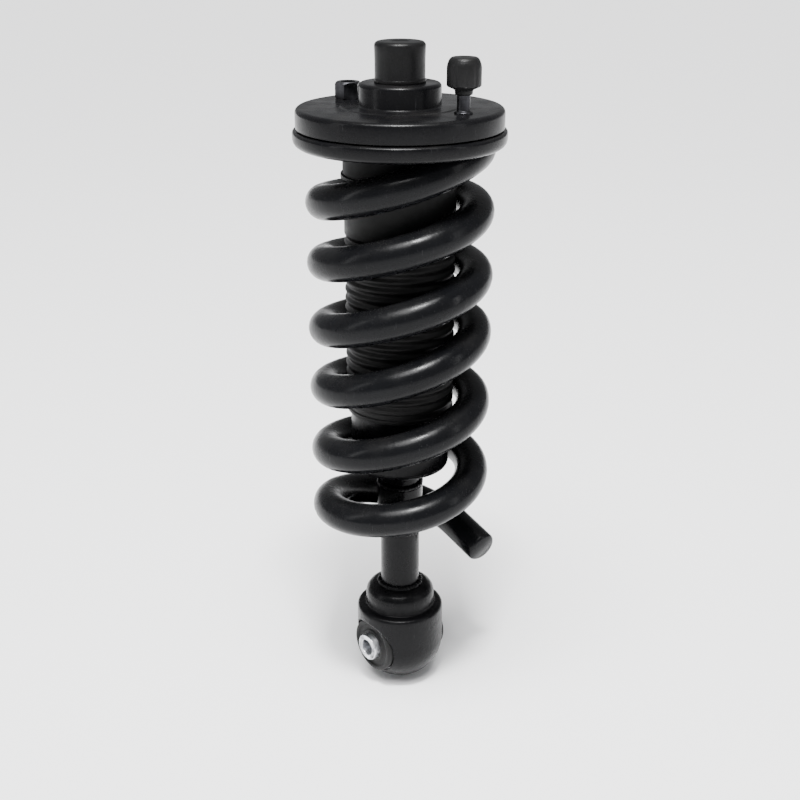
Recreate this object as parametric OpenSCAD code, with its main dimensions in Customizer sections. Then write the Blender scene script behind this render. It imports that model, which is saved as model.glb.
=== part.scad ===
// Strut assembly: a coil spring over a twin-tube damper, with a rubber top mount
// that bolts to the body and a rubber-bushed eye at the lower end.
// The strut's axis is Z. z = 0 is the face of the top plate that meets the body,
// and the lower eye's bore runs along Y. It is drawn at full extension.

/* [Top mount] */
// Outer radius of the top plate's band
plate_r = 69.4; // [69.4:0.1:70]
// Height of the top plate's band
plate_h = 13.5; // [11:0.5:18]
// Sheet thickness of the top plate
plate_t = 2.6; // [2.2:0.1:3]
// Radius of the raised pot that holds the rubber core
pot_r = 27.4; // [26:0.1:32]
// Height of the raised pot
pot_h = 15; // [14:0.1:16]
// Outer radius of the rolled lip of the upper spring seat
lip_r = 71.5; // [71.5:0.1:80]
// Height of the rolled lip
lip_h = 11; // [9:0.5:12]
// Outer radius of the cap over the rod nut
cap_r = 17; // [16.8:0.1:20]
// Height of the cap over the rod nut
cap_h = 26; // [24.5:0.5:34]
// Radius from the strut's axis to the two studs
stud_orbit = 50.5; // [50:0.1:54]
// Angle of the long stud from +X
stud_angle = 13; // [0:0.5:30]

/* [Coil spring] */
// Radius of the wire
wire_r = 11.9; // [10.5:0.1:11.9]
// Angle of the coil's high side from +X
coil_angle = 50; // [0:5:180]
// Wire centre heights where each turn passes the high side, from the free lower end up
high_side_z = [-335, -262, -207, -155, -114, -69, -27];
// Wire centre heights half a turn later, on the low side
low_side_z = [-290, -245, -197, -153, -106, -64, -22];
// Rise of the coil's front over its back, across half the coil
front_rise = 1; // [0:0.5:4]
// Length of the straight end of the wire
tail_length = 32; // [10:1:36]
// How far the coil's radius opens towards the free end
end_flare = 3.5; // [0:0.5:4]

/* [Damper] */
// Outer radius of the damper body
body_r = 35; // [34.5:0.1:35]
// Wall of the damper body
body_t = 2.6; // [2:0.1:2.8]
// Radius of the piston rod
rod_r = 10; // [9:0.1:11]
// Radius of the stem that joins the damper body to the eye
stem_r = 14.4; // [13:0.1:15]
// Outer radius of the dust boot over its pleats
boot_r = 38.5; // [38.4:0.1:39.5]
// Number of pleats in the dust boot
pleats = 17; // [12:1:20]
// Travel of the damper from full extension to the bump stop
stroke = 60; // [20:1:60]

/* [Lower eye] */
// Height of the eye's centre
eye_z = -404; // [-410:1:-403]
// Outer radius of the housing around the bush
housing_r = 32.5; // [31:0.5:34]
// Height of the housing's flat shoulder over the bore's centre
housing_top = 29.5; // [28:0.5:31]
// Radius of the bore for the lower bolt
bolt_bore_r = 6.1; // [5:0.1:7.5]
// Length of the bush's inner sleeve
sleeve_length = 66; // [66:1:80]

/* [Hidden] */

$fn = 96;
black_paint = [0.03, 0.03, 0.035];
black_rubber = [0.02, 0.02, 0.02];
zinc = [0.72, 0.73, 0.74];
bright_steel = [0.6, 0.61, 0.63];

run_gap = 0.05;              // radial gap of a running fit
safe_gap = 0.3;              // gap between faces that only face each other
rim_z = -0.6;                // top of the plate outside its raised face
raised_r = 40;               // radius of the plate's raised face
seat_top_z = rim_z - plate_t;
seat_t = 2;                  // sheet thickness of the upper spring seat
isolator_z = high_side_z[6] + wire_r + safe_gap; // underside of the isolator, where the spring bears
lip_top_z = rim_z - plate_h - 0.8;
band_in_r = plate_r - plate_t;
seat_out_r = band_in_r - 0.4;
coil_r = seat_out_r - seat_t - safe_gap - wire_r; // to the wire's centre, inside the seat
coil_in_r = coil_r - wire_r;
bar_r = 6.5;                 // threaded ends of the rod
shoulder_z = -24;            // rod shoulder under the mount
core_r = 10.9;               // outside of the mount's steel sleeve
bump_low_z = -53;            // lower end of the bump stop
body_top_z = bump_low_z - 1 - stroke;
body_bottom_z = -254;
body_in_r = body_r - body_t;
bore_r = 28;                 // bore of the inner tube
guide_z = body_top_z - 20;   // underside of the rod guide
piston_z = -150;             // top face of the piston
piston_h = 16;
boot_top_z = -44;
boot_bottom_z = -213;
hub_top_z = -273.5;
hub_bottom_z = -310;
hub_r = 16.6;
dome_top_z = eye_z + 47;
dome_r = 25.5;
shell_r = 21;                // outside of the bush's steel shell
shell_half = 21.5;           // half the shell's length along the bore
shell_in_r = 19.5;
shoulder_r = 20.6;           // shoulders of the bush's rubber
rubber_half = 28;            // half the rubber's length along the bore
sleeve_r = 9.9;              // outside of the bush's inner sleeve

// A ring about Z between two heights.
module ring(r_out, r_in, z_low, z_high)
    translate([0, 0, z_low])
        difference() {
            cylinder(r = r_out, h = z_high - z_low);
            translate([0, 0, -1]) cylinder(r = r_in, h = z_high - z_low + 2);
        }

// A round bar about Z between two heights.
module bar(r, z_low, z_high)
    translate([0, 0, z_low]) cylinder(r = r, h = z_high - z_low);

// A hexagon nut with chamfered corners and a round bore.
module hex_nut(across_flats, bore, z_low, height) {
    corner = across_flats / sqrt(3);
    translate([0, 0, z_low])
        difference() {
            intersection() {
                cylinder(r = corner, h = height, $fn = 6);
                rotate_extrude()
                    polygon([[0, 0], [corner - 0.8, 0], [corner, 0.8], [corner, height - 1.4],
                        [corner - 1.4, height], [0, height]]);
            }
            translate([0, 0, -1]) cylinder(r = bore, h = height + 2);
        }
}

// Moves children to a stud's place on the top plate.
module at_stud(angle) rotate(angle) translate([stud_orbit, 0, 0]) children();

// Points of a quarter arc in the profile plane.
function arc(cx, cz, r, from, to, steps = 6) =
    [for (i = [0:steps]) let (a = from + (to - from) * i / steps) [cx + r * cos(a), cz + r * sin(a)]];

// Smooth curve through a list, at position u counted in list places.
function along(list, u) =
    let (last = len(list) - 1,
        i = max(0, min(last - 1, floor(u))),
        f = u - i,
        a = list[i], b = list[i + 1],
        m0 = i == 0 ? b - a : (b - list[i - 1]) / 2,
        m1 = i == last - 1 ? b - a : (list[i + 2] - a) / 2)
    f < 0 ? a + m0 * f : f > 1 ? b + m1 * (f - 1) :
        a * (1 + 2 * f) * pow(1 - f, 2) + m0 * f * pow(1 - f, 2)
        + b * f * f * (3 - 2 * f) - m1 * f * f * (1 - f);

function ease(x) = let (c = max(0, min(1, x))) c * c * (3 - 2 * c);

// Height of the wire's centre after t turns. The turns lean towards the low side,
// and the last half turn closes level under the isolator.
function wire_z(t) =
    let (high = (1 + cos(360 * t)) / 2,
        lean = high * along(high_side_z, t) + (1 - high) * along(low_side_z, t - 0.5),
        closed = ease((t - 5.75) / 0.4))
    (lean - front_rise * sin(360 * t)) * (1 - closed) + high_side_z[6] * closed;

function wire_point(t) =
    let (a = coil_angle + 360 * t, r = coil_r + end_flare * max(0, 1 - 2 * t))
    [r * cos(a), r * sin(a), wire_z(t)];
function unit(v) = v / norm(v);

coil_start = 0.104;          // turns before the wire starts to bend
coil_end = 6.3;
ring_step = 1 / 32;
wire_sides = 16;

// One ring of points around the wire at c, square to its direction d.
function wire_ring(c, d, r) =
    let (n = unit([d[1], -d[0], 0]), b = cross(d, n))
    [for (k = [0:wire_sides - 1]) c + r * (cos(360 * k / wire_sides) * n
        + sin(360 * k / wire_sides) * b)];

// Closed solid from a list of equal rings.
module skin(rings) {
    n = len(rings[0]);
    last = len(rings) - 1;
    polyhedron([for (r = rings) each r],
        [[for (k = [0:n - 1]) k],
            for (i = [0:last - 1], k = [0:n - 1]) each
                let (a = i * n + k, b = i * n + (k + 1) % n) [[a, a + n, b], [b, a + n, b + n]],
            [for (k = [n - 1:-1:0]) last * n + k]]);
}

// ---- Top mount ----

// Moulded cap that covers the rod nut.
module top_cap()
    color(black_rubber)
        rotate_extrude()
            polygon(concat([[cap_r - 1.6, pot_h], [cap_r, pot_h]],
                arc(cap_r - 3, pot_h + cap_h - 3, 3, 0, 90),
                [[0, pot_h + cap_h], [0, pot_h + cap_h - 1.8], [cap_r - 3.4, pot_h + cap_h - 1.8],
                    [cap_r - 1.6, pot_h + cap_h - 3.6]]));

module rod_nut() color(zinc) hex_nut(18, bar_r, pot_h + 3, 10.5);

// Thick washer that spreads the nut's load on the mount.
module rebound_washer() color(zinc) ring(15.2, bar_r, pot_h + 0.3, pot_h + 3);

// Pressed plate: a flat raised face, a central pot and a deep outer band.
module mount_plate()
    color(black_paint)
        rotate_extrude()
            polygon(concat([[core_r + 1.5, pot_h - plate_t], [core_r + 1.5, pot_h]],
                arc(pot_r - 2.5, pot_h - 2.5, 2.5, 90, 0),
                [[pot_r, 0], [raised_r - 1.5, 0], [raised_r, rim_z]],
                arc(plate_r - 3.2, rim_z - 3.2, 3.2, 90, 0),
                [[plate_r, rim_z - plate_h], [band_in_r, rim_z - plate_h], [band_in_r, rim_z - 5.5],
                    [band_in_r - 1.4, seat_top_z], [raised_r - 2, seat_top_z],
                    [raised_r - 3, -plate_t], [pot_r - plate_t, -plate_t],
                    [pot_r - plate_t, pot_h - plate_t]]));

// Rubber core bonded between the pot and the steel sleeve.
module mount_rubber()
    color(black_rubber)
        rotate_extrude()
            polygon([[core_r, -15], [pot_r - plate_t - 4, -15], [pot_r - plate_t, -11],
                [pot_r - plate_t, pot_h - plate_t], [core_r, pot_h - plate_t]]);

// Steel sleeve through the rubber core, clamped on the rod.
module mount_sleeve() color(bright_steel) ring(core_r, bar_r, shoulder_z + 2.5, pot_h + 0.3);

// Pressed seat for the spring's upper end, with a rolled outer lip.
module upper_spring_seat()
    color(black_paint)
        rotate_extrude()
            polygon(concat([[36, seat_top_z - seat_t], [36, seat_top_z], [seat_out_r - 2, seat_top_z],
                    [seat_out_r, seat_top_z - 2], [seat_out_r, lip_top_z], [lip_r - 2, lip_top_z]],
                arc(lip_r - 2, lip_top_z - 2, 2, 90, 0, 3),
                arc(lip_r - 5.5, lip_top_z - lip_h + 5.5, 5.5, 0, -90),
                [[min(seat_out_r - 1, lip_r - 6), lip_top_z - lip_h], [seat_out_r - seat_t, lip_top_z - lip_h + 1],
                    [seat_out_r - seat_t, seat_top_z - seat_t]]));

// Rubber isolator under the seat, with a skirt down inside the coil.
module upper_isolator()
    color(black_rubber)
        rotate_extrude()
            polygon([[36.6, seat_top_z - seat_t], [36.6, boot_top_z], [38.6, boot_top_z],
                [38.6, isolator_z - 10], [coil_in_r - safe_gap, isolator_z], [seat_out_r - seat_t - 0.2, isolator_z],
                [seat_out_r - seat_t - 0.2, seat_top_z - seat_t]]);

// Weld studs on the plate's outer ledge. The long one has a plain shank under its thread.
shank_top = 11;
shank_r = 4.3;                 // plain shank of the long stud, under its thread
thread_r = 3.94;             // an M8 thread, a little under its nominal size

module long_stud()
    color(zinc)
        at_stud(stud_angle)
            rotate_extrude()
                polygon([[0, rim_z], [6, rim_z], [6, rim_z + 1], [shank_r, rim_z + 2], [shank_r, shank_top],
                    [thread_r, shank_top], [thread_r, 31], [3, 32], [0, 32]]);

module short_stud()
    color(zinc)
        at_stud(stud_angle + 171.5)
            rotate_extrude() polygon([[0, rim_z], [5, rim_z], [5, 8.2], [4.2, 9], [0, 9]]);

// Push-on thread protector on the long stud.
module stud_protector()
    color(black_rubber)
        at_stud(stud_angle)
            rotate_extrude()
                polygon([[thread_r + run_gap, shank_top + safe_gap], [6.5, shank_top + safe_gap], [11.1, 15.5],
                    [11.1, 30.5], [8, 34.4], [0, 34.4], [0, 32.6], [thread_r + run_gap, 32.6]]);

module stud_nut() color(zinc) at_stud(stud_angle + 171.5) hex_nut(16, 5, rim_z, 11.2);

// ---- Rod, piston and bump stop ----

// Cup that holds the bump stop against the mount.
module bump_cup()
    color(zinc)
        rotate_extrude()
            polygon([[bar_r, shoulder_z], [bar_r, shoulder_z + 2.5], [24.5, shoulder_z + 2.5],
                [26, shoulder_z + 1], [26, -38], [24.4, -38], [24.4, shoulder_z]]);

// Foam bump stop around the rod, waisted twice.
module bump_stop()
    color([0.75, 0.62, 0.35])
        rotate_extrude()
            polygon([[rod_r + 0.4, shoulder_z], [24.3, shoulder_z], [24.3, -33], [20.5, -36],
                [23, -39.5], [19, -44], [21, -47.5], [17, bump_low_z + 1], [15, bump_low_z],
                [rod_r + 0.4, bump_low_z]]);

// Hard chromed rod, stepped at both ends.
module piston_rod()
    color([0.8, 0.8, 0.82])
        rotate_extrude()
            polygon([[0, -179], [5, -179], [6, -178], [6, piston_z + 2], [rod_r, piston_z + 2],
                [rod_r, shoulder_z], [bar_r, shoulder_z], [bar_r, pot_h + 17], [bar_r - 1, pot_h + 18],
                [0, pot_h + 18]]);

// Piston with a groove for its band and eight oil ports.
module piston()
    color(bright_steel)
        difference() {
            bar(bore_r - 0.2, piston_z - piston_h, piston_z);
            bar(6, piston_z - piston_h - 1, piston_z + 1);
            ring(bore_r, bore_r - 2, piston_z - 11, piston_z - 5);
            for (i = [0:7]) rotate(45 * i) translate([17, 0, 0])
                bar(2.2, piston_z - piston_h - 1, piston_z + 1);
        }

module piston_band()
    color([0.25, 0.2, 0.15]) ring(bore_r - run_gap, bore_r - 2, piston_z - 11, piston_z - 5);

// Spring-steel discs over the ports on both faces of the piston.
module valve_shims()
    color(bright_steel) {
        ring(20, 6, piston_z, piston_z + 1);
        ring(14, 6, piston_z + 1, piston_z + 2);
        ring(20, 6, piston_z - piston_h - 1, piston_z - piston_h);
        ring(14, 6, piston_z - piston_h - 2, piston_z - piston_h - 1);
    }

module piston_nut() color(zinc) hex_nut(19, 6, piston_z - piston_h - 10, 8);

// Elastic ring that ends the extension stroke.
module rebound_stop() color([0.3, 0.3, 0.32]) ring(17, rod_r, guide_z - 9, guide_z - safe_gap);

// ---- Dust boot and spring ----

flange_r = coil_in_r - safe_gap; // the boot's flange, under the isolator's skirt
pleat_top_z = -86;
pleat_low_z = -200;
pleat_pitch = (pleat_top_z - pleat_low_z) / pleats;

// Pleated rubber boot: a collar in the isolator, a plain sleeve, the pleats and a cuff.
module dust_boot()
    color(black_rubber)
        rotate_extrude()
            polygon(concat(
                [[36.5, -30], [36.5, boot_top_z], [flange_r, boot_top_z], [flange_r, boot_top_z - 3],
                    [boot_r - 0.4, boot_top_z - 5], [boot_r - 0.4, pleat_top_z]],
                [for (i = [0:pleats - 1]) each
                    [[boot_r - 2, pleat_top_z - (i + 0.15) * pleat_pitch],
                        [boot_r, pleat_top_z - (i + 0.65) * pleat_pitch]]],
                [[boot_r - 1.6, pleat_low_z], [boot_r - 0.6, pleat_low_z - 3],
                    [boot_r - 0.6, boot_bottom_z], [body_r + safe_gap, boot_bottom_z],
                    [body_r + safe_gap, pleat_low_z]],
                [for (i = [pleats - 1:-1:0]) each
                    [[boot_r - 1.1, pleat_top_z - (i + 0.65) * pleat_pitch],
                        [boot_r - 3.1, pleat_top_z - (i + 0.15) * pleat_pitch]]],
                [[boot_r - 1.8, pleat_top_z], [boot_r - 1.8, boot_top_z - 5], [35, boot_top_z - 1.5],
                    [35, -30]]));

// Coil spring wound from round wire, with a straight lower end.
module coil_spring()
    color(black_paint) {
        start = wire_point(coil_start);
        back = unit(start - wire_point(coil_start + 0.002));
        turns = [coil_start : ring_step : coil_end];
        skin(concat(
            [for (s = [[1, 0.86], [0.93, 1], [0.6, 1], [0.3, 1]])
                wire_ring(start + back * tail_length * s[0], -back, wire_r * s[1])],
            [for (t = turns)
                wire_ring(wire_point(t), unit(wire_point(t + 0.002) - wire_point(t - 0.002)), wire_r)]));
    }

// ---- Damper body ----

module body_tube() color(black_paint) ring(body_r, body_in_r, body_bottom_z, body_top_z - 3);

// Cap rolled over the top of the body.
module gland_cap() color(black_paint) ring(body_r, 14, body_top_z - 3, body_top_z);

// Rubber wiper on the rod.
module rod_wiper()
    color(black_rubber)
        rotate_extrude()
            polygon([[rod_r + run_gap, body_top_z - 3], [13.9, body_top_z - 3], [13.9, body_top_z],
                [12.5, body_top_z + 0.6], [rod_r + run_gap, body_top_z + 0.6]]);

// Sintered guide that carries the rod and closes both tubes.
module rod_guide()
    color(bright_steel)
        rotate_extrude()
            polygon([[rod_r + run_gap, guide_z], [bore_r - 0.1, guide_z], [bore_r - 0.1, guide_z + 6],
                [body_in_r, guide_z + 6], [body_in_r, body_top_z - 3], [rod_r + run_gap, body_top_z - 3]]);

module inner_tube() color(bright_steel) ring(30, bore_r, -249, guide_z + 6);

// Valve at the foot of the inner tube.
module foot_valve()
    color(bright_steel)
        difference() {
            bar(bore_r - 0.1, -249, -240);
            for (i = [0:5]) rotate(60 * i) translate([16, 0, 0]) bar(2.5, -250, -239);
        }

// Closing plug of the body, welded around its edge.
module body_base()
    color(black_paint)
        rotate_extrude()
            polygon(concat([[0, -249], [body_in_r, -249], [body_in_r, body_bottom_z],
                    [body_r, body_bottom_z]],
                arc(body_r - 3, body_bottom_z - 0.5, 3, 0, -90, 4),
                [[0, body_bottom_z - 3.5]]));

module stem() color(black_paint) bar(stem_r, dome_top_z - 6, body_bottom_z - 3.5);

// Welded hub that carries the lower spring seat.
module perch_hub()
    color(black_paint)
        rotate_extrude()
            polygon([[stem_r, hub_bottom_z], [hub_r, hub_bottom_z], [hub_r, hub_top_z - 1.5],
                [hub_r - 1.5, hub_top_z], [stem_r, hub_top_z]]);

// Lower spring seat: a pressed ramp from the hub that follows the wire's underside.
perch_start = 0.25;          // turns of the wire over the seat's two ends
perch_end = 0.8;
perch_r = 48;
perch_t = 2.6;
perch_steps = 24;

function perch_ring(t) =
    let (a = coil_angle + 360 * t,
        out_z = wire_z(t) - wire_r - safe_gap,
        in_z = hub_bottom_z + 9,
        section = [[hub_r, in_z], [perch_r, out_z], [perch_r, out_z - perch_t], [hub_r, in_z - perch_t]])
    [for (p = section) [p[0] * cos(a), p[0] * sin(a), p[1]]];

module spring_perch()
    color(black_paint)
        skin([for (i = [0:perch_steps])
            perch_ring(perch_start + (perch_end - perch_start) * i / perch_steps)]);

// ---- Lower eye ----

// Turns children from the Z axis to the eye's bore.
module at_eye() translate([0, 0, eye_z]) rotate([-90, 0, 0]) children();

// Forged housing with a round bottom, a flat shoulder and a domed neck for the stem.
module eye_housing()
    color(black_paint)
        difference() {
            rotate_extrude()
                polygon(concat([[0, eye_z - housing_r]],
                    arc(0, eye_z, housing_r, -84, -4, 10),
                    [[housing_r, eye_z + 4]],
                    arc(housing_r - 3, eye_z + housing_top - 3, 3, 0, 90, 3),
                    [[dome_r, eye_z + housing_top]],
                    arc(dome_r - 10, dome_top_z - 10, 10, 0, 90, 6),
                    [[0, dome_top_z]]));
            at_eye() bar(shell_r, -2 * dome_r, 2 * dome_r);
            bar(stem_r, dome_top_z - 6, dome_top_z + 1);
        }

// Steel shell of the bush, pressed into the housing's cross bore.
module bush_shell() color(zinc) at_eye() ring(shell_r, shell_in_r, -shell_half, shell_half);

// Rubber of the bush, with a shoulder over each end of the shell.
module bush_rubber()
    color(black_rubber)
        at_eye()
            rotate_extrude()
                polygon([[sleeve_r + run_gap, -rubber_half], [shoulder_r - 2, -rubber_half],
                    [shoulder_r, 2 - rubber_half], [shoulder_r, -shell_half], [shell_in_r, -shell_half],
                    [shell_in_r, shell_half], [shoulder_r, shell_half], [shoulder_r, rubber_half - 2],
                    [shoulder_r - 2, rubber_half], [sleeve_r + run_gap, rubber_half]]);

// Inner sleeve that the lower bolt clamps.
module bush_sleeve() color(zinc) at_eye() ring(sleeve_r, bolt_bore_r, -sleeve_length / 2, sleeve_length / 2);

top_cap();
rod_nut();
rebound_washer();
mount_plate();
mount_rubber();
mount_sleeve();
upper_spring_seat();
upper_isolator();
long_stud();
stud_protector();
short_stud();
stud_nut();
bump_cup();
bump_stop();
piston_rod();
piston();
piston_band();
valve_shims();
piston_nut();
rebound_stop();
dust_boot();
coil_spring();
body_tube();
gland_cap();
rod_wiper();
rod_guide();
inner_tube();
foot_valve();
body_base();
stem();
perch_hub();
spring_perch();
eye_housing();
bush_shell();
bush_rubber();
bush_sleeve();
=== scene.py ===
import math

import bmesh
import bpy
from mathutils import Matrix, Vector


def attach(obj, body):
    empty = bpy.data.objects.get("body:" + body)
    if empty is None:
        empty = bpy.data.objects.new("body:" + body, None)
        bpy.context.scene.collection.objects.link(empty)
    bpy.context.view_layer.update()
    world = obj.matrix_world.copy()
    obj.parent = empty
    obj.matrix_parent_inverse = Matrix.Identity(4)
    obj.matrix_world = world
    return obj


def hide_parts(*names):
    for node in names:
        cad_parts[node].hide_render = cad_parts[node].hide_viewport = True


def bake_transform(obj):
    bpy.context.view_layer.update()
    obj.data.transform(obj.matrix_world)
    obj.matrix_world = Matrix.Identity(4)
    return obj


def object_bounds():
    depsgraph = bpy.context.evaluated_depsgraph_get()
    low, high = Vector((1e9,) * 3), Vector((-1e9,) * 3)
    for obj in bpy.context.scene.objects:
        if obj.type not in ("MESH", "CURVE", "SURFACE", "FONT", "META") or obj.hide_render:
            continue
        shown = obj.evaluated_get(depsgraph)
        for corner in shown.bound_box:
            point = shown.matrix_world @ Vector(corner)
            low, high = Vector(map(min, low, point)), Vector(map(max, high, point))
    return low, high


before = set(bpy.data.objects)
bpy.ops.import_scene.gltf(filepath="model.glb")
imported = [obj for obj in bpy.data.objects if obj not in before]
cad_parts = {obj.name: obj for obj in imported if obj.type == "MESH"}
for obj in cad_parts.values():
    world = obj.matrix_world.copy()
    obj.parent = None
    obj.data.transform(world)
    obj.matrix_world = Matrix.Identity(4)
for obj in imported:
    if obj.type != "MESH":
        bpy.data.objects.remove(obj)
cad_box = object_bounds()
MM = 0.001

# ---- Camera, floor and lights ----
# The strut stands on its lower eye on a plain pale floor, under a broad soft sky. A small
# high softbox lights the shoulders of the wire and the plate, and two narrow panels the sides.

camera = bpy.data.objects.new("camera", bpy.data.cameras.new("camera"))
bpy.context.scene.collection.objects.link(camera)
camera.data.lens = 56.25
camera.data.sensor_width = 36
camera.data.clip_end = 100
aim = Vector((0, 0, -0.209))
camera.location = (0.6392, -0.5364, 0.1281)
camera.rotation_euler = (aim - camera.location).to_track_quat("-Z", "Y").to_euler()
bpy.context.scene.camera = camera

pale = bpy.data.materials.new("pale_floor")
pale.use_nodes = True
pale_shader = pale.node_tree.nodes["Principled BSDF"]
pale_shader.inputs["Base Color"].default_value = (0.93, 0.93, 0.935, 1)
pale_shader.inputs["Roughness"].default_value = 0.9
pale_shader.inputs["Specular IOR Level"].default_value = 0.1
FLOOR_R, FLOOR_GAP = 14, 0.0004
ground = bmesh.new()
bmesh.ops.create_circle(ground, cap_ends=True, radius=FLOOR_R, segments=64)
bmesh.ops.translate(ground, verts=ground.verts, vec=(0, 0, cad_box[0].z - FLOOR_GAP))
floor_mesh = bpy.data.meshes.new("floor")
ground.to_mesh(floor_mesh)
ground.free()
floor_mesh.materials.append(pale)
floor = bpy.data.objects.new("floor", floor_mesh)
bpy.context.scene.collection.objects.link(floor)


def softbox(name, place, size, power):
    """A rectangular lamp that faces the middle of the strut."""
    lamp = bpy.data.lights.new(name, "AREA")
    lamp.shape = "RECTANGLE"
    lamp.size, lamp.size_y = size
    lamp.energy = power
    holder = bpy.data.objects.new(name, lamp)
    holder.location = place
    holder.rotation_euler = (aim - Vector(place)).to_track_quat("-Z", "Y").to_euler()
    bpy.context.scene.collection.objects.link(holder)


softbox("key", (0.5, -0.42, 1.5), (0.3, 0.2), 60)
softbox("left_panel", (-0.6, -1.5, 0.5), (0.25, 1.2), 5)
softbox("right_panel", (1.6, 0.8, 0.5), (0.2, 1.2), 5)

sky = bpy.data.lights.new("sky_panel", "SUN")
sky.energy = 6.5
sky.angle = math.radians(40)
sky_holder = bpy.data.objects.new("sky_panel", sky)
sky_holder.rotation_euler = (math.radians(16), math.radians(12), 0)
bpy.context.scene.collection.objects.link(sky_holder)

world = bpy.data.worlds.new("studio")
world.use_nodes = True
world.node_tree.nodes["Background"].inputs["Color"].default_value = (0.95, 0.96, 0.98, 1)
world.node_tree.nodes["Background"].inputs["Strength"].default_value = 0.4
bpy.context.scene.world = world

# ---- Top plate ----
# Pressed steel, 2.6 mm, with a pot for the rubber core and a deep outer band. It is
# dipped and painted gloss black, so the paint is a little orange-peeled and gathers dust.


def link(tree, kind, settings=(), feeds=()):
    """Adds a node. Each feed is (input, value or another node's output)."""
    made = tree.nodes.new("ShaderNode" + kind)
    for key, value in settings:
        setattr(made, key, value)
    for key, value in feeds:
        if isinstance(value, bpy.types.NodeSocket):
            tree.links.new(value, made.inputs[key])
        else:
            made.inputs[key].default_value = value
    return made


def group_of(name, inputs, outputs):
    """An empty node group with named sockets, and its two end nodes."""
    tree = bpy.data.node_groups.new(name, "ShaderNodeTree")
    for label, kind, value in inputs:
        tree.interface.new_socket(label, in_out="INPUT", socket_type=kind).default_value = value
    for label, kind in outputs:
        tree.interface.new_socket(label, in_out="OUTPUT", socket_type=kind)
    return tree, tree.nodes.new("NodeGroupInput"), tree.nodes.new("NodeGroupOutput")


def spread(tree, value, low, high, new_low, new_high):
    """A value remapped and held between two limits."""
    return link(tree, "MapRange", feeds=[("Value", value), ("From Min", low), ("From Max", high),
                                         ("To Min", new_low), ("To Max", new_high)]).outputs["Result"]


def noise(tree, place, scale, detail, rough=0.55):
    return link(tree, "TexNoise", feeds=[("Vector", place), ("Scale", scale), ("Detail", detail),
                                         ("Roughness", rough)]).outputs["Fac"]


# Dust that settles on faces that look up, and in a thin uneven film elsewhere.
dust, dust_in, dust_out = group_of(
    "settled_dust", [("Amount", "NodeSocketFloat", 0.5)], [("Mask", "NodeSocketFloat")])
at = link(dust, "TexCoord").outputs["Object"]
up = link(dust, "SeparateXYZ", feeds=[(0, link(dust, "NewGeometry").outputs["Normal"])]).outputs["Z"]
facing = spread(dust, up, 0.35, 1.0, 0.12, 1.0)
cloud = spread(dust, noise(dust, at, 38, 8, 0.62), 0.42, 0.72, 0.0, 1.0)
speck = spread(dust, noise(dust, at, 900, 3, 0.5), 0.55, 0.75, 0.25, 1.0)
mask = link(dust, "Math", [("operation", "MULTIPLY")], [(0, facing), (1, cloud)]).outputs[0]
mask = link(dust, "Math", [("operation", "MULTIPLY")], [(0, mask), (1, speck)]).outputs[0]
mask = link(dust, "Math", [("operation", "MULTIPLY")],
            [(0, mask), (1, dust_in.outputs["Amount"])]).outputs[0]
dust.links.new(mask, dust_out.inputs["Mask"])

# Paint skin: tone, gloss and orange peel, with fine handling scratches and dust.
skin, skin_in, skin_out = group_of(
    "paint_skin",
    [("Dark", "NodeSocketColor", (0.0015, 0.0015, 0.0018, 1)),
     ("Light", "NodeSocketColor", (0.004, 0.004, 0.0046, 1)),
     ("Gloss", "NodeSocketFloat", 0.25), ("Peel Scale", "NodeSocketFloat", 420),
     ("Lumps", "NodeSocketFloat", 0.2), ("Dust", "NodeSocketFloat", 0.5)],
    [("Color", "NodeSocketColor"), ("Roughness", "NodeSocketFloat"), ("Height", "NodeSocketFloat")])
at = link(skin, "TexCoord").outputs["Object"]
tone = link(skin, "Mix", [("data_type", "RGBA")],
            [("Factor", noise(skin, at, 22, 6)), (6, skin_in.outputs["Dark"]), (7, skin_in.outputs["Light"])])
grey = link(skin, "Group", [("node_tree", dust)], [("Amount", skin_in.outputs["Dust"])]).outputs["Mask"]
dusty = link(skin, "Mix", [("data_type", "RGBA")],
             [("Factor", spread(skin, grey, 0, 1, 0, 0.14)), (6, tone.outputs[2]),
              (7, (0.16, 0.15, 0.135, 1))])
turned_at = link(skin, "Mapping", feeds=[("Vector", at), ("Rotation", (0.6, 0.3, 0.9)),
                                         ("Scale", (1, 1, 0.06))]).outputs["Vector"]
scratch = spread(skin, noise(skin, turned_at, 1400, 2, 0.4), 0.7, 0.76, 0, 1)
scuffed = link(skin, "Mix", [("data_type", "RGBA")],
               [("Factor", spread(skin, scratch, 0, 1, 0, 0.25)), (6, dusty.outputs[2]),
                (7, (0.04, 0.04, 0.043, 1))])
worn = spread(skin, noise(skin, at, 60, 6, 0.6), 0.3, 0.75, -0.05, 0.16)
rough = link(skin, "Math", [("operation", "ADD")], [(0, skin_in.outputs["Gloss"]), (1, worn)]).outputs[0]
rough = link(skin, "Math", [("operation", "MULTIPLY_ADD")], [(0, grey), (1, 0.45), (2, rough)]).outputs[0]
rough = link(skin, "Math", [("operation", "MULTIPLY_ADD"), ("use_clamp", True)],
             [(0, scratch), (1, 0.2), (2, rough)]).outputs[0]
peel = link(skin, "TexNoise", feeds=[("Vector", at), ("Scale", skin_in.outputs["Peel Scale"]),
                                     ("Detail", 1.5)]).outputs["Fac"]
lumps = link(skin, "Math", [("operation", "MULTIPLY_ADD")],
             [(0, noise(skin, at, 130, 5, 0.6)), (1, skin_in.outputs["Lumps"]), (2, peel)]).outputs[0]
height = link(skin, "Math", [("operation", "MULTIPLY_ADD")], [(0, scratch), (1, -0.3), (2, lumps)]).outputs[0]
skin.links.new(scuffed.outputs[2], skin_out.inputs["Color"])
skin.links.new(rough, skin_out.inputs["Roughness"])
skin.links.new(height, skin_out.inputs["Height"])


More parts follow.
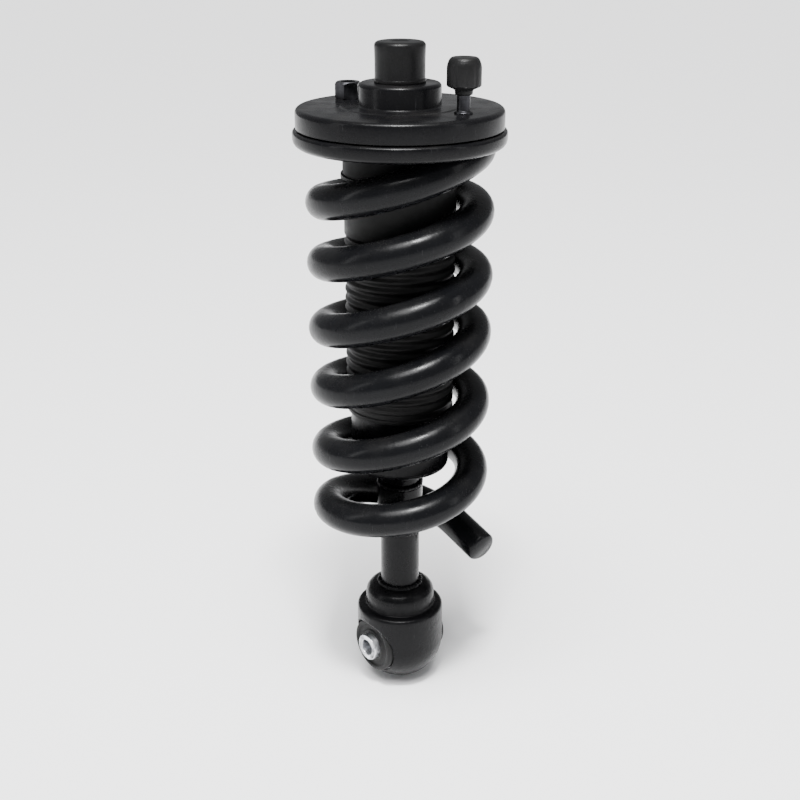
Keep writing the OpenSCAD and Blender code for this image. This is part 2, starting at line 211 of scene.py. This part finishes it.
def new_finish(name, specular, metal=0.0, coat=0.0):
    """An empty material, its node tree and its shader."""
    made = bpy.data.materials.new(name)
    made.use_nodes = True
    shader = made.node_tree.nodes["Principled BSDF"]
    shader.inputs["Specular IOR Level"].default_value = specular
    shader.inputs["Metallic"].default_value = metal
    shader.inputs["Coat Weight"].default_value = coat
    return made, made.node_tree, shader


def finish_with(tree, shader, source, depth, strength=1.0):
    """Feeds a shader from a surface group's colour, roughness and height."""
    tree.links.new(source.outputs["Color"], shader.inputs["Base Color"])
    tree.links.new(source.outputs["Roughness"], shader.inputs["Roughness"])
    bump = link(tree, "Bump", feeds=[("Height", source.outputs["Height"]), ("Distance", depth),
                                     ("Strength", strength)])
    tree.links.new(bump.outputs["Normal"], shader.inputs["Normal"])


def black_paint(name, gloss, peel, lumps, dusted, depth, light=(0.004, 0.004, 0.0046, 1)):
    """Black paint: its gloss, orange peel, lumps and dust, and the depth of its skin in metres."""
    made, tree, shader = new_finish(name, 0.1)
    source = link(tree, "Group", [("node_tree", skin)],
                  [("Gloss", gloss), ("Peel Scale", peel), ("Lumps", lumps), ("Dust", dusted),
                   ("Light", light)])
    finish_with(tree, shader, source, depth)
    return made


plate_paint = black_paint("plate_paint", 0.2, 380, 0.15, 0.75, 0.00006)


def turned_mesh(corners, axis="Z", centre=(0, 0, 0), steps=144):
    """A solid turned about an axis from (radius, height, rounding) corners in millimetres."""
    bm = bmesh.new()
    rows = [bm.verts.new((r * MM, 0, z * MM)) for r, z, _ in corners]
    for i, row in enumerate(rows):
        if row.co.x > 1e-9 or rows[i - 1].co.x > 1e-9:
            bm.edges.new((rows[i - 1], row))
    for amount in sorted({c[2] for c in corners if c[2] > 0}):
        chosen = [v for v, c in zip(rows, corners) if c[2] == amount]
        bmesh.ops.bevel(bm, geom=chosen, offset=amount * MM, offset_type="OFFSET", segments=4,
                        profile=0.5, affect="VERTICES", material=-1)
    bmesh.ops.spin(bm, geom=bm.verts[:] + bm.edges[:], cent=(0, 0, 0), axis=(0, 0, 1),
                   angle=2 * math.pi, steps=steps, use_merge=True, use_duplicate=False)
    bmesh.ops.remove_doubles(bm, verts=bm.verts, dist=2e-6)
    bmesh.ops.dissolve_degenerate(bm, edges=bm.edges, dist=1e-7)
    bmesh.ops.recalc_face_normals(bm, faces=bm.faces)
    if axis == "Y":
        bmesh.ops.rotate(bm, verts=bm.verts, cent=(0, 0, 0), matrix=Matrix.Rotation(-math.pi / 2, 3, "X"))
    bmesh.ops.translate(bm, verts=bm.verts, vec=[c * MM for c in centre])
    return bm


def finished(name, bm, material, body=None, node=(), sharp=38):
    """Makes the object, shades it, rides it and hides the nodes it stands for."""
    mesh = bpy.data.meshes.new(name)
    bm.to_mesh(mesh)
    bm.free()
    mesh.shade_smooth()
    mesh.set_sharp_from_angle(angle=math.radians(sharp))
    mesh.materials.append(material)
    piece = bpy.data.objects.new(name, mesh)
    bpy.context.scene.collection.objects.link(piece)
    if body:
        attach(piece, body)
    if node:
        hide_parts(*node)
    return piece


finished("top_plate", turned_mesh([
    (12.4, 12.4, 0.5), (12.4, 15, 0.5), (27.4, 15, 2.6), (27.4, 0, 1.2), (38.6, 0, 0.4), (40, -0.6, 0.4),
    (69.4, -0.6, 3.2), (69.4, -14.1, 0.7), (66.8, -14.1, 0.7), (66.8, -3.2, 1.2), (38, -3.2, 0.3),
    (37, -2.6, 0.3), (24.8, -2.6, 0.8), (24.8, 12.4, 1.2)], steps=180),
    plate_paint, "top_mount", ["mount_plate"])

# ---- Upper spring seat ----
# A second pressing, nested in the plate's band and spot welded to it. Its edge is
# rolled outward into a thick lip that holds the top of the coil.

finished("upper_seat", turned_mesh([
    (36, -5.2, 0.4), (36, -3.2, 0.4), (66.4, -3.2, 1.8), (66.4, -14.9, 0.9), (71.5, -14.9, 2.2),
    (71.5, -25.9, 5.4), (65.4, -25.9, 0.3), (64.4, -24.9, 0.3), (64.4, -5.2, 0.8)], steps=180),
    plate_paint, "top_mount", ["upper_spring_seat"])

# ---- Cap over the rod nut ----
# Injection-moulded polypropylene, pushed over the nut. It has a spark-eroded grain, a
# shallow dish where it was gated, and a small bead at its foot.

grain, grain_in, grain_out = group_of(
    "moulded_grain",
    [("Dark", "NodeSocketColor", (0.002, 0.002, 0.002, 1)),
     ("Light", "NodeSocketColor", (0.0055, 0.0055, 0.006, 1)),
     ("Grain Scale", "NodeSocketFloat", 1500), ("Roughness", "NodeSocketFloat", 0.45),
     ("Mottle", "NodeSocketFloat", 0.1), ("Dust", "NodeSocketFloat", 0.5)],
    [("Color", "NodeSocketColor"), ("Roughness", "NodeSocketFloat"), ("Height", "NodeSocketFloat")])
at = link(grain, "TexCoord").outputs["Object"]
tone = link(grain, "Mix", [("data_type", "RGBA")],
            [("Factor", spread(grain, noise(grain, at, 45, 7, 0.62), 0.3, 0.7, 0, 1)),
             (6, grain_in.outputs["Dark"]), (7, grain_in.outputs["Light"])])
grey = link(grain, "Group", [("node_tree", dust)], [("Amount", grain_in.outputs["Dust"])]).outputs["Mask"]
dusty = link(grain, "Mix", [("data_type", "RGBA")],
             [("Factor", spread(grain, grey, 0, 1, 0, 0.16)), (6, tone.outputs[2]),
              (7, (0.15, 0.14, 0.125, 1))])
cells = link(grain, "TexVoronoi", feeds=[("Vector", at), ("Scale", grain_in.outputs["Grain Scale"])])
centred = link(grain, "Math", [("operation", "SUBTRACT")],
               [(0, noise(grain, at, 70, 6, 0.6)), (1, 0.5)]).outputs[0]
rough = link(grain, "Math", [("operation", "MULTIPLY_ADD")],
             [(0, centred), (1, grain_in.outputs["Mottle"]), (2, grain_in.outputs["Roughness"])]).outputs[0]
rough = link(grain, "Math", [("operation", "MULTIPLY_ADD"), ("use_clamp", True)],
             [(0, grey), (1, 0.3), (2, rough)]).outputs[0]
grain.links.new(dusty.outputs[2], grain_out.inputs["Color"])
grain.links.new(rough, grain_out.inputs["Roughness"])
grain.links.new(cells.outputs["Distance"], grain_out.inputs["Height"])


def moulded(name, scale, rough, mottle, dusted, depth, specular=0.13, dark=None, light=None):
    """A moulded plastic or rubber, with the grain of its mould to a depth in metres."""
    made, tree, shader = new_finish(name, specular)
    feeds = [("Grain Scale", scale), ("Roughness", rough), ("Mottle", mottle), ("Dust", dusted)]
    if light:
        feeds += [("Dark", dark), ("Light", light)]
    finish_with(tree, shader, link(tree, "Group", [("node_tree", grain)], feeds), depth)
    return made


cap_plastic = moulded("cap_moulding", 1500, 0.36, 0.25, 0.6, 0.00008)
finished("rod_cap", turned_mesh([
    (15.4, 15, 0.3), (17, 15, 0.4), (17, 17, 0.5), (16.6, 17.6, 0.5), (16.6, 30, 3), (17, 41, 3),
    (6.5, 41, 0.7), (5.2, 40.4, 0.6), (0, 40.4, 0), (0, 39.2, 0), (13.6, 39.2, 1.8), (15.4, 37.4, 0.8)]),
    cap_plastic, "top_mount", ["top_cap"])

# ---- Long stud and its protector ----
# An M8 stud on a thicker plain shank, projection welded to the plate and black passivated,
# under a push-on polythene protector with grip flutes and a waisted skirt.

lines, lines_in, lines_out = group_of(
    "metal_skin",
    [("Vector", "NodeSocketVector", (0, 0, 0)), ("Dark", "NodeSocketColor", (0.4, 0.41, 0.42, 1)),
     ("Light", "NodeSocketColor", (0.62, 0.63, 0.65, 1)), ("Roughness", "NodeSocketFloat", 0.3),
     ("Lines", "NodeSocketFloat", 0.5), ("Dust", "NodeSocketFloat", 0.3)],
    [("Color", "NodeSocketColor"), ("Roughness", "NodeSocketFloat"), ("Height", "NodeSocketFloat")])
parts = link(lines, "SeparateXYZ", feeds=[(0, lines_in.outputs["Vector"])])
flat = link(lines, "CombineXYZ", feeds=[(0, parts.outputs["X"]), (1, parts.outputs["Y"])]).outputs[0]
reach = link(lines, "VectorMath", [("operation", "LENGTH")], [(0, flat)]).outputs["Value"]
cut = link(lines, "CombineXYZ", feeds=[(0, reach), (1, parts.outputs["Z"])]).outputs[0]
tool = noise(lines, cut, 3200, 2, 0.5)
cloud = noise(lines, lines_in.outputs["Vector"], 160, 6, 0.65)
blend_by = link(lines, "Math", [("operation", "MULTIPLY_ADD"), ("use_clamp", True)],
                [(0, tool), (1, lines_in.outputs["Lines"]),
                 (2, spread(lines, cloud, 0.35, 0.7, -0.1, 0.7))]).outputs[0]
tone = link(lines, "Mix", [("data_type", "RGBA")],
            [("Factor", blend_by), (6, lines_in.outputs["Dark"]), (7, lines_in.outputs["Light"])])
grey = link(lines, "Group", [("node_tree", dust)], [("Amount", lines_in.outputs["Dust"])]).outputs["Mask"]
dusty = link(lines, "Mix", [("data_type", "RGBA")],
             [("Factor", spread(lines, grey, 0, 1, 0, 0.5)), (6, tone.outputs[2]), (7, (0.2, 0.19, 0.17, 1))])
rough = link(lines, "Math", [("operation", "MULTIPLY_ADD")],
             [(0, spread(lines, cloud, 0.3, 0.75, -0.08, 0.16)), (1, 1.0),
              (2, lines_in.outputs["Roughness"])]).outputs[0]
rough = link(lines, "Math", [("operation", "MULTIPLY_ADD"), ("use_clamp", True)],
             [(0, grey), (1, 0.4), (2, rough)]).outputs[0]
height = link(lines, "Math", [("operation", "MULTIPLY_ADD")],
              [(0, tool), (1, lines_in.outputs["Lines"]), (2, spread(lines, cloud, 0, 1, 0, 0.4))]).outputs[0]
lines.links.new(dusty.outputs[2], lines_out.inputs["Color"])
lines.links.new(rough, lines_out.inputs["Roughness"])
lines.links.new(height, lines_out.inputs["Height"])


def metal(name, dark, light, rough, turned, dusted, depth, centre=(0, 0, 0), tilt=(0, 0, 0)):
    """Bare or plated steel, with tool lines about the axis that centre and tilt bring to Z."""
    made, tree, shader = new_finish(name, 0.5, metal=1.0)
    at = link(tree, "TexCoord").outputs["Object"]
    moved = link(tree, "VectorMath", [("operation", "SUBTRACT")], [(0, at), (1, centre)]).outputs["Vector"]
    placed = link(tree, "Mapping", feeds=[("Vector", moved), ("Rotation", tilt)]).outputs["Vector"]
    source = link(tree, "Group", [("node_tree", lines)],
                  [("Vector", placed), ("Dark", dark), ("Light", light), ("Roughness", rough),
                   ("Lines", turned), ("Dust", dusted)])
    finish_with(tree, shader, source, depth)
    return made


STUD_ORBIT = 50.5


def stud_place(angle):
    """Where a stud at an angle in degrees stands on the plate, in millimetres."""
    return (STUD_ORBIT * math.cos(math.radians(angle)), STUD_ORBIT * math.sin(math.radians(angle)), 0)


def threaded(foot, root, crest, low, high, pitch):
    """Corners of a threaded shank: a foot, then 60 degree threads up to a chamfered end."""
    turns = int((high - low) / pitch)
    rows = list(foot)
    for i in range(turns):
        rows += [(root, low + pitch * i, 0), (crest, low + pitch * (i + 0.42), 0),
                 (crest, low + pitch * (i + 0.58), 0)]
    return rows + [(root, low + pitch * turns, 0), (root - 0.4, high, 0), (0, high, 0)]


LONG_STUD = 13
SHANK_R, SHANK_TOP = 4.3, 11
PROTECTOR_R, GRIP_R = 11.1, 3.99
long_at = stud_place(LONG_STUD)
zinc_dark, zinc_light = (0.36, 0.37, 0.39, 1), (0.66, 0.67, 0.7, 1)
black_dark, black_light = (0.018, 0.018, 0.02, 1), (0.06, 0.06, 0.066, 1)
long_plate = metal("long_stud_plate", black_dark, black_light, 0.36, 0.4, 0.1, 0.00004,
                   [c * MM for c in long_at])
finished("long_threaded_stud", turned_mesh(threaded(
    [(0, -0.6, 0), (6, -0.6, 0), (6, 0.4, 0.3), (SHANK_R, 1.4, 0.3), (SHANK_R, SHANK_TOP, 0)],
    3.3, 3.94, 11.1, 32, 1.25),
    centre=long_at, steps=40), long_plate, "top_mount", ["long_stud"], sharp=25)

protector_plastic = moulded("protector_moulding", 1100, 0.4, 0.3, 0.9, 0.0001,
                            light=(0.008, 0.008, 0.0085, 1), dark=(0.003, 0.003, 0.003, 1))
flutes = turned_mesh([
    (GRIP_R, 11.3, 0.2), (5.6, 11.3, 0.5), (5.9, 14.4, 1), (PROTECTOR_R, 16.6, 0.9),
    (PROTECTOR_R, 29.6, 2), (9.4, 33.4, 1), (8, 34.4, 0.6), (0, 34.4, 0), (0, 32.6, 0),
    (GRIP_R, 32.6, 0.3)], steps=120)
FLUTES, FLUTE_DEPTH = 10, 0.045
for v in flutes.verts:
    if v.co.xy.length > 10 * MM and 17 * MM < v.co.z < 30.5 * MM:
        groove = max(0.0, math.cos(FLUTES * math.atan2(v.co.y, v.co.x))) ** 2
        v.co.x *= 1 - FLUTE_DEPTH * groove
        v.co.y *= 1 - FLUTE_DEPTH * groove
bmesh.ops.translate(flutes, verts=flutes.verts, vec=[c * MM for c in long_at])
finished("protector_cap", flutes, protector_plastic, "protector", ["stud_protector"])

# ---- Short stud and its nut ----
# The second stud is M10, with its black hex nut run down to the plate and a little
# thread left showing in the nut's mouth.

SHORT_STUD = LONG_STUD + 171.5
short_at = stud_place(SHORT_STUD)
short_plate = metal("short_stud_plate", black_dark, black_light, 0.38, 0.4, 0.12, 0.00004,
                    [c * MM for c in short_at])
finished("short_threaded_stud", turned_mesh(threaded(
    [(0, -0.6, 0), (4.95, -0.6, 0)], 4.2, 4.95, 0.2, 9, 1.5),
    centre=short_at, steps=40), short_plate, "top_mount", ["short_stud"], sharp=25)


def dress(material, *nodes):
    """Gives CAD nodes a better material."""
    for name in nodes:
        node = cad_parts[name]
        if not node.material_slots:
            node.data.materials.append(material)
        for held in node.material_slots:
            held.material = material


dress(short_plate, "stud_nut")

# ---- Rod end and rubber core ----
# Under the cap, the rod's threaded end carries a plated nut and washer. The rubber core
# is bonded in the pot around a machined sleeve.

axis_zinc = metal("axis_zinc", zinc_dark, zinc_light, 0.32, 0.5, 0.1, 0.00004)
steel = metal("machined_steel", (0.3, 0.3, 0.31, 1), (0.52, 0.52, 0.53, 1), 0.28, 1.0, 0.0, 0.00005)
dress(axis_zinc, "rod_nut", "rebound_washer", "bump_cup", "piston_nut")
dress(steel, "mount_sleeve", "piston", "valve_shims", "rod_guide", "inner_tube", "foot_valve")
core_rubber = moulded("core_rubber", 1900, 0.62, 0.3, 0.4, 0.00008, 0.15)
dress(core_rubber, "mount_rubber", "upper_isolator", "rod_wiper", "rebound_stop")

# ---- Rod, bump stop and piston band ----
# The rod is hard chromed and ground. The bump stop is foamed polyurethane, with open
# cells in its skin, and the piston's band is bronze-filled PTFE.

chrome = metal("hard_chrome", (0.6, 0.61, 0.63, 1), (0.72, 0.73, 0.75, 1), 0.07, 0.15, 0.0, 0.00001)
dress(chrome, "piston_rod")
foam = moulded("bump_foam", 700, 0.8, 0.2, 0.1, 0.0004, 0.2, dark=(0.5, 0.38, 0.16, 1),
               light=(0.66, 0.53, 0.27, 1))
dress(foam, "bump_stop")
band = moulded("filled_ptfe", 2600, 0.4, 0.3, 0.0, 0.00003, 0.4, dark=(0.1, 0.07, 0.045, 1),
               light=(0.2, 0.15, 0.1, 1))
dress(band, "piston_band")

# ---- Dust boot ----
# Moulded EPDM in one piece: a collar held by the isolator, a plain sleeve, seventeen
# soft pleats and a cuff that grips the damper body.

PLEATS, PLEAT_TOP, PLEAT_LOW = 17, -86, -200
BOOT_R = 38.5
pitch = (PLEAT_TOP - PLEAT_LOW) / PLEATS
outer = []
inner = []
for i in range(PLEATS):
    valley, crest = PLEAT_TOP - (i + 0.2) * pitch, PLEAT_TOP - (i + 0.7) * pitch
    outer += [(BOOT_R - 2.1, valley, 1.1), (BOOT_R, crest, 1.3)]
    inner += [(BOOT_R - 3.2, valley, 0.9), (BOOT_R - 1.1, crest, 0.9)]
boot = turned_mesh(
    [(36.5, -30, 0.3), (36.5, -44, 0.3), (40, -44, 0.6), (40, -47, 0.8), (38.1, -49, 1.2),
     (38.1, PLEAT_TOP + 1, 0.8)]
    + outer
    + [(36.9, PLEAT_LOW, 0.6), (37.9, PLEAT_LOW - 3, 0.8), (37.9, -205.4, 0.3), (37.3, -206.2, 0.3),
       (37.3, -209.6, 0.3), (37.9, -210.4, 0.3), (37.9, -213, 0.7), (35.3, -213, 0.3), (35.3, PLEAT_LOW, 0.3)]
    + inner[::-1]
    + [(36.7, PLEAT_TOP + 1, 0.5), (36.7, -49, 0.5), (35, -45.5, 0.5), (35, -30, 0.3)], steps=112)
boot_rubber = moulded("boot_rubber", 2100, 0.5, 0.35, 0.55, 0.00008, 0.15,
                      dark=(0.002, 0.002, 0.002, 1), light=(0.006, 0.006, 0.006, 1))
boot = finished("pleated_boot", boot, boot_rubber, None, ["dust_boot"], sharp=50)
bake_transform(boot)

# ---- Coil spring ----
# One bar of spring steel, 23.8 mm thick, wound right-handed for 6.2 turns and powder
# coated. The upper end is closed level, and the cut lower end runs out straight.

WIRE_R, COIL_R, COIL_ANGLE = 11.9, 52.2, 50
HIGH_Z = [-335, -262, -207, -155, -114, -69, -27]
LOW_Z = [-290, -245, -197, -153, -106, -64, -22]
COIL_START, COIL_END, TAIL = 0.104, 6.3, 32


def along(heights, u):
    """Smooth curve through a list of heights, at position u counted in list places."""
    last = len(heights) - 1
    i = max(0, min(last - 1, math.floor(u)))
    f = u - i
    a, b = heights[i], heights[i + 1]
    m0 = b - a if i == 0 else (b - heights[i - 1]) / 2
    m1 = b - a if i == last - 1 else (heights[i + 2] - a) / 2
    if f < 0:
        return a + m0 * f
    if f > 1:
        return b + m1 * (f - 1)
    return (a * (1 + 2 * f) * (1 - f) ** 2 + m0 * f * (1 - f) ** 2
            + b * f * f * (3 - 2 * f) - m1 * f * f * (1 - f))


def wire_z(t):
    """Height of the wire's middle after t turns from the lower end."""
    high = (1 + math.cos(2 * math.pi * t)) / 2
    lean = high * along(HIGH_Z, t) + (1 - high) * along(LOW_Z, t - 0.5)
    c = max(0.0, min(1.0, (t - 5.75) / 0.4))
    closed = c * c * (3 - 2 * c)
    return (lean - math.sin(2 * math.pi * t)) * (1 - closed) + HIGH_Z[6] * closed


def wire_point(t):
    """Middle of the wire after t turns. The first half turn opens out a little."""
    a = math.radians(COIL_ANGLE + 360 * t)
    r = COIL_R + 3.5 * max(0.0, 1 - 2 * t)
    return Vector((r * math.cos(a), r * math.sin(a), wire_z(t))) * MM


start = wire_point(COIL_START)
back = (start - wire_point(COIL_START + 0.002)).normalized() * TAIL * MM
# The tail's last part is rounded over where the bar was sheared.
SHEARED = ((1.0, 0.86), (0.975, 0.94), (0.95, 0.985), (0.93, 1), (0.6, 1), (0.3, 1))
RINGS = 440
path = [(start + back * share, narrowed) for share, narrowed in SHEARED]
path += [(wire_point(COIL_START + (COIL_END - COIL_START) * i / RINGS), 1.0) for i in range(RINGS + 1)]
curve = bpy.data.curves.new("coil_wire", "CURVE")
curve.dimensions = "3D"
curve.bevel_depth = WIRE_R * MM
curve.bevel_resolution = 12
curve.use_fill_caps = True
spline = curve.splines.new("POLY")
spline.points.add(len(path) - 1)
for point, (co, radius) in zip(spline.points, path):
    point.co = (*co, 1)
    point.radius = radius
bar = bpy.data.objects.new("bar", curve)
bpy.context.scene.collection.objects.link(bar)
bpy.context.view_layer.update()
wound = bmesh.new()
shape = bpy.data.meshes.new_from_object(bar.evaluated_get(bpy.context.evaluated_depsgraph_get()))
wound.from_mesh(shape)
bpy.data.objects.remove(bar)
bpy.data.meshes.remove(shape)
bmesh.ops.remove_doubles(wound, verts=wound.verts, dist=1e-6)
bmesh.ops.recalc_face_normals(wound, faces=wound.faces)
spring_coat = black_paint("spring_coat", 0.2, 300, 0.25, 0.7, 0.00008, light=(0.0045, 0.0048, 0.0056, 1))
coil = finished("coil_wire", wound, spring_coat, None, ["coil_spring"], sharp=50)
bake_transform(coil)

# ---- Damper body ----
# Drawn steel tube with a closing plug, a solid stem and a hub for the spring seat, all
# arc welded together and painted after welding, so the beads are under the same paint.

tube_paint = black_paint("tube_paint", 0.24, 360, 0.2, 0.5, 0.00006)
dress(tube_paint, "body_tube", "gland_cap", "body_base", "stem", "perch_hub")


def weld_bead(name, radius, height, size, beads):
    """A ring weld with overlapping scales, about Z."""
    bm = bmesh.new()
    bmesh.ops.create_circle(bm, radius=size * MM, segments=14)
    bmesh.ops.rotate(bm, verts=bm.verts, cent=(0, 0, 0), matrix=Matrix.Rotation(math.pi / 2, 3, "X"))
    bmesh.ops.translate(bm, verts=bm.verts, vec=(radius * MM, 0, height * MM))
    bmesh.ops.spin(bm, geom=bm.verts[:] + bm.edges[:], cent=(0, 0, 0), axis=(0, 0, 1),
                   angle=2 * math.pi, steps=beads * 8, use_merge=True, use_duplicate=False)
    bmesh.ops.remove_doubles(bm, verts=bm.verts, dist=1e-6)
    bmesh.ops.recalc_face_normals(bm, faces=bm.faces)
    for v in bm.verts:
        turn = math.atan2(v.co.y, v.co.x) * beads / (2 * math.pi)
        lump = 1 - 0.22 * (turn % 1.0) + 0.08 * math.sin(2.3 * turn)
        ring = Vector((v.co.x, v.co.y, 0)).normalized() * radius * MM + Vector((0, 0, height * MM))
        v.co = ring + (v.co - ring) * lump
    finished(name, bm, weld_paint, "damper_body", sharp=60)


weld_paint = black_paint("weld_paint", 0.3, 500, 0.9, 0.5, 0.0002)
for weld, radius, height, size, beads in (
        ("plug_weld", 34.3, -254.2, 0.95, 90), ("stem_weld", 14.9, -257.9, 2.4, 36),
        ("hub_upper_weld", 15.2, -273.3, 2.0, 38), ("hub_lower_weld", 15.2, -310.3, 2.2, 38),
        ("neck_weld", 15.0, -356.8, 2.4, 36)):
    weld_bead(weld, radius, height, size, beads)

# ---- Lower spring seat ----
# A pressed ramp, 2.6 mm thick, welded to the hub. Its outer edge follows the underside of
# the last turn and its inner edge lies flat around the hub.

HUB_R, PERCH_R, PERCH_T, PERCH_FOOT = 16.6, 48, 2.6, -301
PERCH_START, PERCH_END = 0.25, 0.8
ramp = bmesh.new()
bmesh.ops.create_grid(ramp, x_segments=72, y_segments=10, size=0.5)
for v in ramp.verts:
    t = PERCH_START + (PERCH_END - PERCH_START) * (v.co.x + 0.5)
    share = v.co.y + 0.5
    angle = math.radians(COIL_ANGLE + 360 * t)
    r = HUB_R + (PERCH_R - HUB_R) * share
    edge = wire_z(t) - WIRE_R - 0.3
    height = PERCH_FOOT + (edge - PERCH_FOOT) * share
    v.co = Vector((r * math.cos(angle), r * math.sin(angle), height)) * MM
bmesh.ops.recalc_face_normals(ramp, faces=ramp.faces)
if sum(f.normal.z for f in ramp.faces) < 0:
    bmesh.ops.reverse_faces(ramp, faces=ramp.faces)
seat = finished("spring_ramp", ramp, tube_paint, "damper_body", ["spring_perch"], sharp=60)
plate = seat.modifiers.new("plate", "SOLIDIFY")
plate.thickness = PERCH_T * MM
plate.offset = -1
rim = seat.modifiers.new("rim", "BEVEL")
rim.width = 0.0007
rim.segments = 3
rim.limit_method = "ANGLE"

# ---- Lower housing ----
# A forging with a round bottom, a flat shoulder and a domed neck that takes the stem. A
# cross bore takes the bush. Its skin is coarser than the tube's under the same black paint.

EYE_Z = -404
HOUSING_R, SHOULDER_Z = 32.5, EYE_Z + 29.5
DOME_R, DOME_Z = 25.9, EYE_Z + 47
SOCKET_R, SOCKET_Z = 14.4, EYE_Z + 41
SHELL_R = 21


def solid(name, bm):
    """A plain object for a boolean, which is thrown away after it."""
    mesh = bpy.data.meshes.new(name)
    bm.to_mesh(mesh)
    bm.free()
    made = bpy.data.objects.new(name, mesh)
    bpy.context.scene.collection.objects.link(made)
    return made


bowl = [(HOUSING_R * math.sin(math.radians(4 * i)), EYE_Z - HOUSING_R * math.cos(math.radians(4 * i)), 0)
        for i in range(23)]
body = solid("housing_blank", turned_mesh(bowl + [
    (HOUSING_R, SHOULDER_Z, 3), (DOME_R, SHOULDER_Z, 0.6), (DOME_R, DOME_Z, 9.2), (SOCKET_R, DOME_Z, 0.6),
    (SOCKET_R, SOCKET_Z, 0), (0, SOCKET_Z, 0)], steps=160))
core = solid("cross_bore", turned_mesh(
    [(0, -40, 0), (SHELL_R, -40, 0), (SHELL_R, 40, 0), (0, 40, 0)],
    axis="Y", centre=(0, 0, EYE_Z), steps=128))
bored = body.modifiers.new("bored", "BOOLEAN")
bored.operation = "DIFFERENCE"
bored.solver = "EXACT"
bored.object = core
even = body.modifiers.new("even", "REMESH")
even.mode = "VOXEL"
even.voxel_size = 0.00075
bpy.context.view_layer.update()
shape = bpy.data.meshes.new_from_object(body.evaluated_get(bpy.context.evaluated_depsgraph_get()))
forged = bmesh.new()
forged.from_mesh(shape)
for blank in (body, core):
    bpy.data.objects.remove(blank)
bpy.data.meshes.remove(shape)
for _ in range(3):
    bmesh.ops.smooth_vert(forged, verts=forged.verts, factor=0.5,
                          use_axis_x=True, use_axis_y=True, use_axis_z=True)
forged_paint = black_paint("forged_paint", 0.26, 320, 1.1, 0.5, 0.00018)
finished("forged_housing", forged, forged_paint, "damper_body", ["eye_housing"], sharp=60)

# ---- Lower bush ----
# Rubber bonded between a pressed-in steel shell and a thick inner sleeve, with a rounded
# shoulder over each end of the shell. The sleeve's ends are serrated to bite on the fork.

HALF, SHELL_HALF = 28, 21.5
bush_rubber = moulded("bush_rubber", 1700, 0.55, 0.35, 0.5, 0.0001, 0.18,
                      dark=(0.0025, 0.0025, 0.0025, 1), light=(0.007, 0.007, 0.007, 1))
SHOULDER_R, SHELL_IN_R, GROOVE = 20.6, 19.5, 1.4
finished("bonded_rubber", turned_mesh([
    (9.95, -HALF, 0.4), (11.8, -HALF, 0.8), (13.2, -HALF + GROOVE, 0.8), (16, -HALF + GROOVE, 0.8),
    (17.2, -HALF, 0.8), (SHOULDER_R, -HALF, 2), (SHOULDER_R, -SHELL_HALF, 0.3),
    (SHELL_IN_R, -SHELL_HALF, 0), (SHELL_IN_R, SHELL_HALF, 0), (SHOULDER_R, SHELL_HALF, 0.3),
    (SHOULDER_R, HALF, 2), (17.2, HALF, 0.8), (16, HALF - GROOVE, 0.8), (13.2, HALF - GROOVE, 0.8),
    (11.8, HALF, 0.8), (9.95, HALF, 0.4)],
    axis="Y", centre=(0, 0, EYE_Z)), bush_rubber, "damper_body", ["bush_rubber"])
eye_centre = (0, 0, EYE_Z * MM)
eye_zinc = metal("eye_zinc", (0.5, 0.51, 0.53, 1), (0.82, 0.83, 0.86, 1), 0.3, 0.5, 0.15, 0.00004,
                 eye_centre, (math.pi / 2, 0, 0))
dress(eye_zinc, "bush_shell")
SLEEVE_HALF, SLEEVE_R, BOLT_R, TOOTH, SLEEVE_STEPS = 33, 9.9, 6.1, 0.35, 96
sleeve = turned_mesh([(SLEEVE_R, -SLEEVE_HALF, 0.5), (SLEEVE_R, SLEEVE_HALF, 0.5), (BOLT_R, SLEEVE_HALF, 0.5),
                      (BOLT_R, -SLEEVE_HALF, 0.5)], axis="Y", centre=(0, 0, EYE_Z), steps=SLEEVE_STEPS)
for v in sleeve.verts:
    step = round(math.atan2(v.co.x, v.co.z - EYE_Z * MM) * SLEEVE_STEPS / (2 * math.pi))
    if abs(v.co.y) > (SLEEVE_HALF - 0.02) * MM and step % 2:
        v.co.y -= math.copysign(TOOTH * MM, v.co.y)
finished("serrated_sleeve", sleeve, eye_zinc, "lower_sleeve", ["bush_sleeve"], sharp=25)
